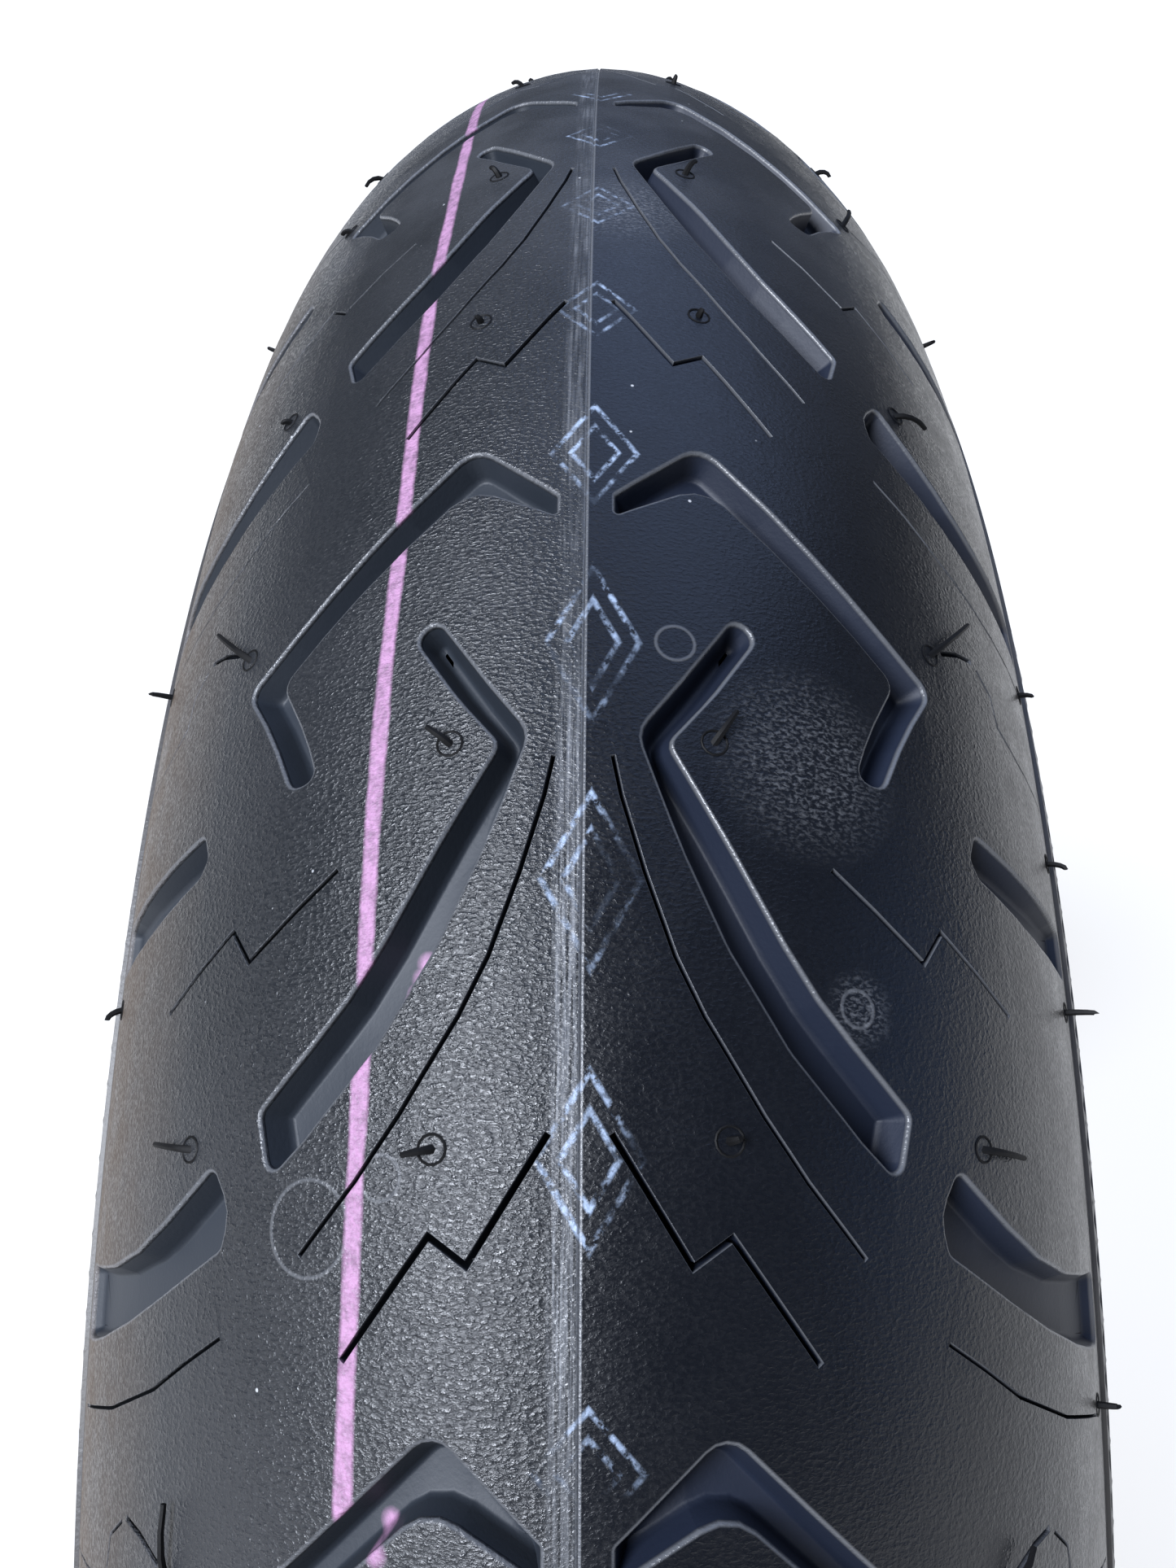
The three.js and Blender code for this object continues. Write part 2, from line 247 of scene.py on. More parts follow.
def drawn(name, points, edges=(), faces=()):
    """A new object whose mesh is the drawn points and lines, as the start of a piece."""
    mesh = bpy.data.meshes.new(name)
    mesh.from_pydata(points, list(edges), list(faces))
    piece = bpy.data.objects.new(name, mesh)
    bpy.context.scene.collection.objects.link(piece)
    make_active(piece)
    return piece


def edit(piece, select="SELECT"):
    make_active(piece)
    bpy.ops.object.mode_set(mode="EDIT")
    bpy.ops.mesh.select_mode(type="VERT")
    bpy.ops.mesh.select_all(action=select)


def apply_modifier(piece, kind, **settings):
    make_active(piece)
    modifier = piece.modifiers.new(kind.title(), kind)
    for key, value in settings.items():
        setattr(modifier, key, value)
    bpy.ops.object.modifier_apply(modifier=modifier.name)


def coordinates(mesh):
    flat = np.zeros(len(mesh.vertices) * 3, np.float32)
    mesh.vertices.foreach_get("co", flat)
    return flat.reshape(-1, 3).astype(float)


def set_coordinates(mesh, points):
    mesh.vertices.foreach_set("co", np.asarray(points, np.float32).ravel())
    mesh.update()


def close_up(piece, distance=2e-5):
    """Merges doubles and turns the faces outwards."""
    edit(piece)
    bpy.ops.mesh.remove_doubles(threshold=distance)
    bpy.ops.mesh.normals_make_consistent(inside=False)
    bpy.ops.object.mode_set(mode="OBJECT")


def smooth(piece, sharp_above=40, weighted=True):
    make_active(piece)
    bpy.ops.object.shade_smooth_by_angle(angle=math.radians(sharp_above))
    if weighted:
        apply_modifier(piece, "WEIGHTED_NORMAL", mode="FACE_AREA", weight=50, keep_sharp=True)


def finish_piece(piece, slot, material, *nodes):
    piece.data.materials.clear()
    piece.data.materials.append(material)
    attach(piece, "root")
    if nodes:
        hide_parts(*nodes)
    clear_selection()
    return piece


# ---------------------------------------------------------------- tread

def select_faces(mesh, chosen):
    for face in mesh.faces:
        face.select_set(False)
    for face in chosen:
        face.select_set(True)
    mesh.select_flush_mode()


def half_pitch_sheet():
    """One pitch of one half of the tread, drawn flat: across in X, around in Y, up in Z, in millimetres."""
    bottom = [(x, y - PITCH) for x, y in CELL_LINE]
    kinds = [(GROOVE_STEPS, [rounded(g) for g in GROOVES]), (SIPE_STEPS, [ribbon(*s) for s in SIPES]),
             (SCORE_STEPS, [ribbon(*s) for s in SCORES])]
    outlines = [CELL_LINE + bottom[::-1]] + [outline for _, group in kinds for outline in group]
    points, loops = [], []
    for outline in outlines:
        outline = [Vector(point[:2]) for point in outline]
        if sum(outline[k - 1].cross(outline[k]) for k in range(len(outline))) < 0:
            outline.reverse()
        loops.append(list(range(len(points), len(points) + len(outline))))
        points += outline
    # The land is what lies inside the cell and outside every groove.
    places, _, triangles, sources, _, inside = delaunay_2d_cdt(points, [], loops, 1, 1e-5)
    new_index = {old: new for new, group in enumerate(sources) for old in group}
    land = [face for face, owners in zip(triangles, inside) if list(owners) == [0]]
    floors = [list(dict.fromkeys(new_index[k] for k in loop)) for loop in loops[1:]]
    piece = drawn("tread", [(x, y, 0) for x, y in places], faces=land + floors)
    edit(piece, "DESELECT")
    bpy.ops.mesh.select_mode(type="FACE")
    work = bmesh.from_edit_mesh(piece.data)
    marker = work.faces.layers.int.new("kind")
    work.faces.ensure_lookup_table()
    first = len(land)
    for number, (_, group) in enumerate(kinds, 1):
        for k in range(len(group)):
            work.faces[first + k][marker] = number
        first += len(group)
    for number, (steps, _) in enumerate(kinds, 1):
        work = bmesh.from_edit_mesh(piece.data)
        marker = work.faces.layers.int["kind"]
        select_faces(work, [face for face in work.faces if face[marker] == number])
        bmesh.update_edit_mesh(piece.data)
        for inset, drop in steps:
            bpy.ops.mesh.inset(thickness=inset, depth=-drop, use_individual=True)
    bpy.ops.mesh.select_mode(type="EDGE")
    cuts = [((x, 0, 0), (1, 0, 0)) for x in ACROSS_CUTS]
    step = PITCH / AROUND_CUTS
    lowest, highest = math.ceil(AROUND_REACH[0] / step), math.floor(AROUND_REACH[1] / step)
    cuts += [((0, k * step, 0), (0, 1, 0)) for k in range(lowest, highest + 1)]
    for place, way in cuts:
        bpy.ops.mesh.select_all(action="SELECT")
        bpy.ops.mesh.bisect(plane_co=place, plane_no=way, threshold=1e-4)
        bpy.ops.mesh.mark_seam()
    bpy.ops.mesh.select_all(action="SELECT")
    bpy.ops.mesh.dissolve_limited(angle_limit=math.radians(1), use_dissolve_boundaries=False,
                                  delimit={"SEAM"})
    bpy.ops.mesh.mark_seam(clear=True)
    bpy.ops.object.mode_set(mode="OBJECT")
    return piece


def underside_rows():
    """(axial place, radius) of the rows from one tread edge, under the cap, to the middle."""
    rows = [crown(SHEET_EDGE, -3.4), crown(88.5, -4.4)]
    for (y, r), lean in ((crown(86, -13), 1.0), (crown(58, -17), 0.75)):
        rows.append((y + CAP_DEPTH * math.sin(lean), r + CAP_DEPTH * math.cos(lean)))
    rows += [(18.4, HOLLOW_RADIUS + CAP_DEPTH - 0.4), (0, HOLLOW_RADIUS + CAP_DEPTH)]
    return [(float(y), float(r)) for y, r in rows]


def build_tread(scene):
    piece = half_pitch_sheet()
    flat = coordinates(piece.data)
    drawn_depth = sum(drop for _, drop in GROOVE_STEPS)
    flat[:, 2] *= depth_share(flat[:, 0]) * scene.tire_sizes.groove_depth / MM / drawn_depth
    notch = (flat[:, 0] < 0.1) & (flat[:, 2] > -0.01)
    flat[notch, 2] = -scene.tire_sizes.parting_notch / MM
    set_coordinates(piece.data, flat)
    apply_modifier(piece, "MIRROR", use_axis=(True, False, False), use_clip=False, merge_threshold=1e-3)
    apply_modifier(piece, "ARRAY", count=PITCHES, use_relative_offset=False, use_constant_offset=True,
                   constant_offset_displace=(0, PITCH, 0), use_merge_vertices=True, merge_threshold=2e-3)
    mesh = piece.data
    flat = coordinates(mesh)
    # The flat place of every corner is kept as the UV map, in metres, and the depth below the land as an
    # attribute, in millimetres.
    corner = np.zeros(len(mesh.loops), np.int32)
    mesh.loops.foreach_get("vertex_index", corner)
    uv = mesh.uv_layers.new(name="flat_tread")
    uv.uv.foreach_set("vector", (flat[corner, :2] * MM).astype(np.float32).ravel())
    depth = mesh.attributes.new("groove_depth", "FLOAT", "POINT")
    depth.data.foreach_set("value", (-flat[:, 2]).astype(np.float32))
    set_coordinates(mesh, wrapped(flat[:, 0], flat[:, 1], flat[:, 2]))
    edit(piece)
    bpy.ops.mesh.remove_doubles(threshold=1e-5)
    bpy.ops.mesh.select_all(action="DESELECT")
    for row in underside_rows():
        work = bmesh.from_edit_mesh(mesh)
        open_edges = [e for e in work.edges if e.is_boundary]
        work.select_mode = {"VERT", "EDGE", "FACE"}
        for e in work.edges:
            e.select_set(False)
        for e in open_edges:
            e.select_set(True)
        bmesh.update_edit_mesh(mesh)
        bpy.ops.mesh.extrude_edges_move()
        work = bmesh.from_edit_mesh(mesh)
        for v in work.verts:
            if v.select:
                turn = math.atan2(v.co.z, v.co.x)
                side = -1 if v.co.y < 0 else 1
                v.co = (row[1] * MM * math.cos(turn), side * row[0] * MM, row[1] * MM * math.sin(turn))
        bmesh.update_edit_mesh(mesh)
    bpy.ops.object.mode_set(mode="OBJECT")
    close_up(piece, 1e-5)
    smooth(piece, 50)
    return finish_piece(piece, "tread_rubber", tread_material(scene), "tread_cap")


# ---------------------------------------------------------------- other pieces

def spun(name, outline, steps):
    """A closed (axial, radial) outline in millimetres, spun round the wheel axis."""
    points = [(r * MM, y * MM, 0) for y, r in outline]
    edges = [(k, (k + 1) % len(points)) for k in range(len(points))]
    piece = drawn(name, points, edges)
    edit(piece)
    bpy.ops.mesh.spin(steps=steps, angle=2 * math.pi, center=(0, 0, 0), axis=(0, 1, 0))
    bpy.ops.object.mode_set(mode="OBJECT")
    close_up(piece, 1e-5)
    return piece


def curve_through(points, spacing):
    """Evenly spaced points on a smooth curve through the given ones."""
    p = np.array([points[0]] + list(points) + [points[-1]], float)
    fine = []
    for k in range(1, len(p) - 2):
        t = np.linspace(0, 1, 30, endpoint=False)[:, None]
        a, b, c, d = p[k - 1], p[k], p[k + 1], p[k + 2]
        square, cube = 2 * a - 5 * b + 4 * c - d, 3 * b - a - 3 * c + d
        fine.append(0.5 * (2 * b + (c - a) * t + square * t ** 2 + cube * t ** 3))
    fine = np.concatenate(fine + [p[-1:]])
    arc = np.concatenate([[0], np.cumsum(np.hypot(*np.diff(fine, axis=0).T))])
    even = np.linspace(0, arc[-1], max(2, round(arc[-1] / spacing)))
    return np.stack([np.interp(even, arc, fine[:, 0]), np.interp(even, arc, fine[:, 1])], 1)


SIDEWALL_SPINE = [(69.1, 270.4), (71.6, 264.5), (73.7, 258.5), (74.7, 251.5), (74.0, 245), (71.6, 238.8),
                  (67.6, 232), (62.6, 226.2), (57.4, 221.4), (53.2, 217.8), (50.9, 214.6)]
# (arc length from the shoulder, width, height) of each raised ring.
SIDEWALL_RINGS = [(1.6, 0.9, 0.55), (11.2, 0.5, 0.35), (23.0, 0.8, 0.5), (34.0, 0.7, 0.45), (36.2, 0.7, 0.45),
                  (58.5, 1.0, 0.8)]
KNURL_BAND = (4.0, 9.6)   # from and to, as arc lengths from the shoulder
KNURL_HEIGHT, KNURL_NOTCH = 0.45, 0.42
SIDEWALL_STEPS, RING_STEPS, LAYER_STEPS = 36 * PITCHES, 14 * PITCHES, 8 * PITCHES


def sidewall_outline(ring_scale):
    """The outline of one sidewall with its rings, and the (axial, radial) places of the knurl's points."""
    base = curve_through(SIDEWALL_SPINE, 0.25)
    arc = np.concatenate([[0], np.cumsum(np.hypot(*np.diff(base, axis=0).T))])
    along = np.gradient(base, axis=0)
    along /= np.hypot(*along.T)[:, None]
    out = np.stack([-along[:, 1], along[:, 0]], 1)
    if out[len(out) // 2, 0] < 0:
        out = -out
    stations = {float(a): 0.0 for a in np.arange(0, arc[-1], 3.4)}
    stations[float(arc[-1])] = 0.0
    for middle, width, height in SIDEWALL_RINGS:
        stations = {a: h for a, h in stations.items() if abs(a - middle) > width / 2 + 0.7}
        for shift, up in ((-width / 2 - 0.3, 0), (-width / 2, height), (width / 2, height),
                          (width / 2 + 0.3, 0)):
            stations[middle + shift] = up * ring_scale
    low, high = KNURL_BAND
    stations = {a: h for a, h in stations.items() if not low - 0.3 < a < high + 0.3}
    knurl = []
    for a, h in ((low, 0.0), (low + 0.35, KNURL_HEIGHT), (high - 0.35, KNURL_HEIGHT), (high, 0.0)):
        stations[a] = h
        if h:
            knurl.append(a)

    def place(a, h):
        return tuple(float(np.interp(a, arc, base[:, k]) + h * np.interp(a, arc, out[:, k])) for k in (0, 1))

    outer = [place(a, stations[a]) for a in sorted(stations)]
    top = tuple(float(v) for v in crown(SHEET_EDGE + 0.15, -3.2))
    inner = [(49.4, 214.6), (59.9, 232.4), (61.4, 238.6), (70.4, 250.6), (66.2, 266.5)]
    raised = [place(a, KNURL_HEIGHT) for a in knurl]
    return [top] + outer + inner, raised


def build_sidewalls(scene):
    outline, raised = sidewall_outline(scene.tire_sizes.ring_height / (0.5 * MM))
    material = sidewall_material(scene)
    for side, name in ((-1, "sidewall_left"), (1, "sidewall_right")):
        piece = spun(name + "_rubber", [(side * y, r) for y, r in outline], SIDEWALL_STEPS)
        points = coordinates(piece.data)
        radius = np.hypot(points[:, 0], points[:, 2]) / MM
        turn = np.arctan2(points[:, 2], points[:, 0]) / (2 * math.pi)
        every_other = np.round(turn * SIDEWALL_STEPS).astype(int) % 2 == 0
        for y, r in raised:
            on_ridge = (np.abs(radius - r) < 0.02) & (np.abs(points[:, 1] / MM - side * y) < 0.02)
            points[on_ridge & every_other, 1] -= side * KNURL_NOTCH * MM
        set_coordinates(piece.data, points)
        smooth(piece, 32)
        finish_piece(piece, "sidewall_rubber", material, name)


CUSHION_OUTLINE = [(50.8, 214.2, 0.4), (50.8, 203.8, 2.4), (34.2, 201.3, 1.2), (34.2, 203.2, 0.3),
                   (47.6, 204.6, 1.0), (49.2, 206.2, 1.0), (49.2, 214.2, 0.4)]


def build_rim_cushions(scene):
    material = heel_material(scene)
    outline = rounded(CUSHION_OUTLINE, 15)
    for side, name in ((-1, "rim_cushion_left"), (1, "rim_cushion_right")):
        piece = spun(name + "_rubber", [(side * y, r) for y, r in outline], RING_STEPS)
        smooth(piece, 32)
        finish_piece(piece, "heel_rubber", material, name)


LINER_CORNERS = [(34.15, 203.5, 0.01), (34.15, 217, 3), (66.6, 251, 10), (55.0, 270.5, 40),
                 (38.9, 287.2, 60), (16, HOLLOW_RADIUS, 60), (0, HOLLOW_RADIUS, 0.01)]
LINER_THICKNESS = 1.1


def build_liner(scene):
    half = rounded(LINER_CORNERS, 12)
    inner = np.array(half + [(-y, r) for y, r in half[::-1]])
    inner = np.array([p for k, p in enumerate(inner) if k == 0 or np.hypot(*(p - inner[k - 1])) > 0.2])
    along = np.gradient(inner, axis=0)
    along /= np.hypot(*along.T)[:, None]
    out = np.stack([along[:, 1], -along[:, 0]], 1)
    if out[len(out) // 2, 1] < 0:
        out = -out
    outer = inner + out * LINER_THICKNESS
    piece = spun("inner_liner_rubber", [tuple(p) for p in [*inner, *outer[::-1]]], RING_STEPS)
    smooth(piece, 40)
    finish_piece(piece, "liner_rubber", liner_material(scene), "inner_liner")


# (root across, root around, tip across, tip around) of the vent hairs of one pitch.
LEFT_HAIRS = [(16, 1, 19, 0.4), (52, 1, 59, 1.7), (16, 47.5, 18.6, 49.6), (51, 70, 59, 78)]
RIGHT_HAIRS = [(52, 1.5, 59.5, 0.5), (15.5, 47.5, 18, 51.5), (51, 70.5, 60, 80), (16, 2, 16.6, 2.2)]
EDGE_HAIRS = [(87, 24), (88, 50.5), (86, 83.5)]
HAIR_SWEEP = 1.3          # how a hair gathers lean towards its tip
HAIR_TAPER = 0.35         # how much of its radius it has lost there
LOWEST_HAIR = -0.318      # in metres; a hair that reaches below this would touch the floor and is left out


def hair_shapes():
    """One vent hair stood on end, and the ring around its root, as points and faces."""
    shapes = []
    clear_selection()
    bpy.ops.mesh.primitive_cylinder_add(vertices=6, radius=1, depth=1, location=(0, 0, 0.5))
    start = bpy.context.object
    edit(start)
    for cut in (0.25, 0.5, 0.75):
        bpy.ops.mesh.select_all(action="SELECT")
        bpy.ops.mesh.bisect(plane_co=(0, 0, cut), plane_no=(0, 0, 1))
    bpy.ops.object.mode_set(mode="OBJECT")
    bpy.ops.object.transform_apply(location=True)
    shapes.append(start)
    bpy.ops.mesh.primitive_torus_add(major_segments=14, minor_segments=4, major_radius=1.6, minor_radius=0.16)
    shapes.append(bpy.context.object)
    found = []
    for shape in shapes:
        found.append((coordinates(shape.data), [tuple(f.vertices) for f in shape.data.polygons]))
        bpy.data.objects.remove(shape)
    return found


def build_vent_hairs(scene):
    draw = random.Random(7)
    (hair, hair_faces), (ring, ring_faces) = hair_shapes()
    radius = scene.tire_sizes.hair_radius / MM
    material = hair_material(scene)
    for side, name, listed in ((-1, "vent_hairs_left", LEFT_HAIRS), (1, "vent_hairs_right", RIGHT_HAIRS)):
        points, faces = [], []
        for pitch in range(PITCHES):
            roots = [(a, b, c - a, d - b, False) for a, b, c, d in listed]
            roots += [(a, b, 0, draw.uniform(-2.5, 1.5), True) for a, b in EDGE_HAIRS
                      if draw.random() < (1 if pitch == 0 and side > 0 else 0.4)]
            for across, around, lean_across, lean_around, upright in roots:
                cut_short = draw.random() < 0.12 and pitch != 0
                turn = draw.uniform(-0.9, 0.9) if pitch else 0
                scale = draw.uniform(0.35, 0.9) if pitch else 1
                lift = draw.uniform(1.5, 4.5 if pitch == 0 else 2.8) if upright else draw.uniform(0.9, 1.8)
                if cut_short:
                    scale, lift = 0.15, 0.8
                lean = Vector((lean_across, lean_around))
                lean.rotate(Matrix.Rotation(turn, 2))
                lean *= scale
                up = hair[:, 2]
                bow = 1.57 if upright else 2.0
                swept, growth = up ** HAIR_SWEEP, HAIR_SWEEP * up ** (HAIR_SWEEP - 1)
                # The root starts 0.15 mm below the land.
                path = np.stack([lean.x * swept, lean.y * swept, (lift + 0.15) * np.sin(up * bow) - 0.15], 1)
                along = np.stack([lean.x * growth, lean.y * growth,
                                  (lift + 0.15) * bow * np.cos(up * bow)], 1)
                beside = np.array([-lean.y, lean.x, 0]) / max(lean.length, 1e-6)
                above = np.cross(along, beside)
                above /= np.linalg.norm(above, axis=1)[:, None] + 1e-9
                thin = (radius * (1 - HAIR_TAPER * up))[:, None]
                root = [across, around + pitch * PITCH, 0]
                flat = path + thin * (hair[:, :1] * beside + hair[:, 1:2] * above) + root
                flat[:, 0] *= side
                placed = wrapped(flat[:, 0], flat[:, 1], flat[:, 2])
                if placed[:, 2].min() > LOWEST_HAIR:
                    faces += [tuple(i + len(points) for i in f) for f in hair_faces]
                    points += list(placed)
                flat = np.stack([side * (across + ring[:, 0]), root[1] + ring[:, 1], ring[:, 2] * 0.6], 1)
                faces += [tuple(i + len(points) for i in f) for f in ring_faces]
                points += list(wrapped(flat[:, 0], flat[:, 1], flat[:, 2]))
        piece = drawn(name, points, faces=faces)
        close_up(piece, 1e-6)
        smooth(piece, 50, weighted=False)
        finish_piece(piece, "tread_rubber", material)


# ---------------------------------------------------------------- materials

def add(tree, kind, links=None, **settings):
    """Adds a node with its settings. links maps an input to a number, a colour, a node or a node's output."""
    node = tree.nodes.new("ShaderNode" + kind)
    for key, value in settings.items():
        setattr(node, key, value)
    for key, value in (links or {}).items():
        if isinstance(value, bpy.types.Node):
            value = next(out for out in value.outputs if out.enabled)
        if isinstance(value, bpy.types.NodeSocket):
            tree.links.new(value, node.inputs[key])
        else:
            node.inputs[key].default_value = value
    return node


def new_material(name):
    material = bpy.data.materials.new(name)
    material.use_nodes = True
    tree = material.node_tree
    tree.nodes.clear()
    shader = add(tree, "BsdfPrincipled")
    add(tree, "OutputMaterial", {"Surface": shader})
    return material, tree, shader


def connect(tree, shader, colour, roughness, height, bump_mm, strength=0.8):
    """Gives a shader its colour, its roughness and a bump, whose height of 1 stands for bump_mm."""
    tree.links.new(colour.outputs[2], shader.inputs["Base Color"])
    if isinstance(roughness, float):
        shader.inputs["Roughness"].default_value = roughness
    else:
        tree.links.new(roughness.outputs[0], shader.inputs["Roughness"])
    bump = add(tree, "Bump", {"Strength": strength, "Distance": bump_mm * MM, "Height": height})
    tree.links.new(bump.outputs[0], shader.inputs["Normal"])


def around_spot(tree, flat, place, reach, fade):
    """1 inside a round spot of the tread, given by its flat place and reach in millimetres, and 0 outside."""
    off = add(tree, "VectorMath", {0: flat, 1: (place[0] * MM, place[1] * MM, 0)}, operation="DISTANCE")
    return add(tree, "MapRange", {0: off.outputs["Value"], 1: reach * MM, 2: (reach + fade) * MM,
                                  3: 1.0, 4: 0.0})


def parting_strip(tree, flat, across, smudge):
    """The strip beside the parting line, scuffed in patches by streaks 0.4 mm wide round the tread."""
    streaks = add(tree, "Mapping", {0: flat, 3: (2600.0, 70.0, 1.0)})
    streaks = add(tree, "TexNoise", {"Vector": streaks, "Scale": 1.0, "Detail": 3.0})
    patchy = add(tree, "MapRange", {0: smudge, 1: 0.42, 2: 0.58, 3: 0.12, 4: 0.5})
    patchy = add(tree, "Math", {0: patchy, 1: around_spot(tree, flat, (-2, 10), 34, 20)}, operation="MAXIMUM")
    strip = add(tree, "MapRange", {0: across, 1: -0.0034, 2: -0.0026})
    for share in (add(tree, "MapRange", {0: across, 1: -0.0005, 2: -0.0003, 3: 1.0, 4: 0.0}), patchy,
                  add(tree, "MapRange", {0: streaks, 1: 0.38, 2: 0.68, 4: 0.5})):
        strip = add(tree, "Math", {0: strip, 1: share}, operation="MULTIPLY")
    return strip


def ring_marks(tree, flat):
    """Four faint round ring marks on the land."""
    rings = 0.0
    for (x, y), radius in RING_MARKS:
        off = add(tree, "VectorMath", {0: flat, 1: (x * MM, y * MM, 0)}, operation="DISTANCE")
        off = add(tree, "Math", {0: off.outputs["Value"], 1: radius * MM}, operation="SUBTRACT")
        off = add(tree, "Math", {0: off}, operation="ABSOLUTE")
        ring = add(tree, "MapRange", {0: off, 1: 0.0001, 2: 0.0003, 3: 1.0, 4: 0.0})
        rings = add(tree, "Math", {0: ring, 1: rings}, operation="MAXIMUM")
    return add(tree, "Math", {0: rings, 1: 0.16}, operation="MULTIPLY")


def middle_marks(tree, across, around, smudge, worn):
    """Worn pale marks down the middle: diamonds drawn in a double line, 30 mm apart and of uneven heights."""
    local = add(tree, "Math", {0: around, 1: 0.015, 2: -0.015}, operation="WRAP")
    cell = add(tree, "Math", {0: around, 1: local}, operation="SUBTRACT")
    cell = add(tree, "Math", {0: cell, 1: 100.0}, operation="MULTIPLY")
    uneven = add(tree, "TexWhiteNoise", {"W": cell}, noise_dimensions="1D").outputs["Value"]
    tallest = add(tree, "MapRange", {0: uneven, 3: 0.0065, 4: 0.0125})
    aside = add(tree, "Math", {0: across, 1: 0.001}, operation="SUBTRACT")
    shares = []
    for way, reach in ((local, tallest), (aside, 0.0062)):
        way = add(tree, "Math", {0: way}, operation="ABSOLUTE")
        shares.append(add(tree, "Math", {0: way, 1: reach}, operation="DIVIDE"))
    diamond = add(tree, "Math", {0: shares[0], 1: shares[1]}, operation="ADD")
    lines = []
    for size in (0.9, 0.5):
        line = add(tree, "Math", {0: diamond, 1: size}, operation="SUBTRACT")
        lines.append(add(tree, "Math", {0: line}, operation="ABSOLUTE"))
    nearest = add(tree, "Math", {0: lines[0], 1: lines[1]}, operation="MINIMUM")
    mark = add(tree, "MapRange", {0: nearest, 1: 0.03, 2: 0.09, 3: 1.0, 4: 0.0})
    for share in (add(tree, "MapRange", {0: around, 1: -0.032, 2: -0.028}),
                  add(tree, "MapRange", {0: around, 1: 0.208, 2: 0.212, 3: 1.0, 4: 0.0}),
                  add(tree, "MapRange", {0: worn, 1: 0.42, 2: 0.58, 4: 0.6}),
                  add(tree, "MapRange", {0: smudge, 1: 0.42, 2: 0.60, 3: 0.05, 4: 1.0})):
        mark = add(tree, "Math", {0: mark, 1: share}, operation="MULTIPLY")
    return mark


def paint_line(tree, flat, across, around, land, smudge, worn, width):
    """A line painted on the land of the left half, with dabs of the same paint beside it."""
    wander = add(tree, "CombineXYZ", {0: around})
    wander = add(tree, "TexNoise", {"Vector": wander, "Scale": 9.0, "Detail": 1.0})
    middle = add(tree, "MapRange", {0: wander, 1: 0.3, 2: 0.7, 3: -0.0262, 4: -0.0238})
    off = add(tree, "Math", {0: across, 1: middle}, operation="SUBTRACT")
    off = add(tree, "Math", {0: off}, operation="ABSOLUTE")
    ragged = add(tree, "Math", {0: smudge, 1: 0.0008}, operation="MULTIPLY")
    off = add(tree, "Math", {0: off, 1: ragged}, operation="ADD")
    line = add(tree, "MapRange", {0: off, 1: width / 2, 2: width / 2 + 0.0005, 3: 1.0, 4: 0.0})
    line = add(tree, "Math", {0: line, 1: land}, operation="MULTIPLY")
    for spot in PAINT_DABS:
        line = add(tree, "Math", {0: line, 1: around_spot(tree, flat, spot, 0.4, 1.1)}, operation="MAXIMUM")
    wear = add(tree, "MapRange", {0: worn, 1: 0.35, 2: 0.6, 3: 0.45, 4: 0.9})
    return add(tree, "Math", {0: line, 1: wear}, operation="MULTIPLY")


# Flat places on the tread, (across, around), in millimetres.
RING_MARKS = [((-31, -7.5), 5.2), ((-22, -2), 2.4), ((11, 60.5), 2.4), ((32.5, 17), 2.2)]   # and radius
RUBS = [((28, 47), 5, 9), ((33, 17), 2, 3), ((6, 150), 3, 9)]                               # and reach, fade
PAINT_DABS = [(-19.4, 22.0), (-20.0, 20.2), (-20.6, 18.4), (-21.4, -37.0), (-21.0, -39.0)]


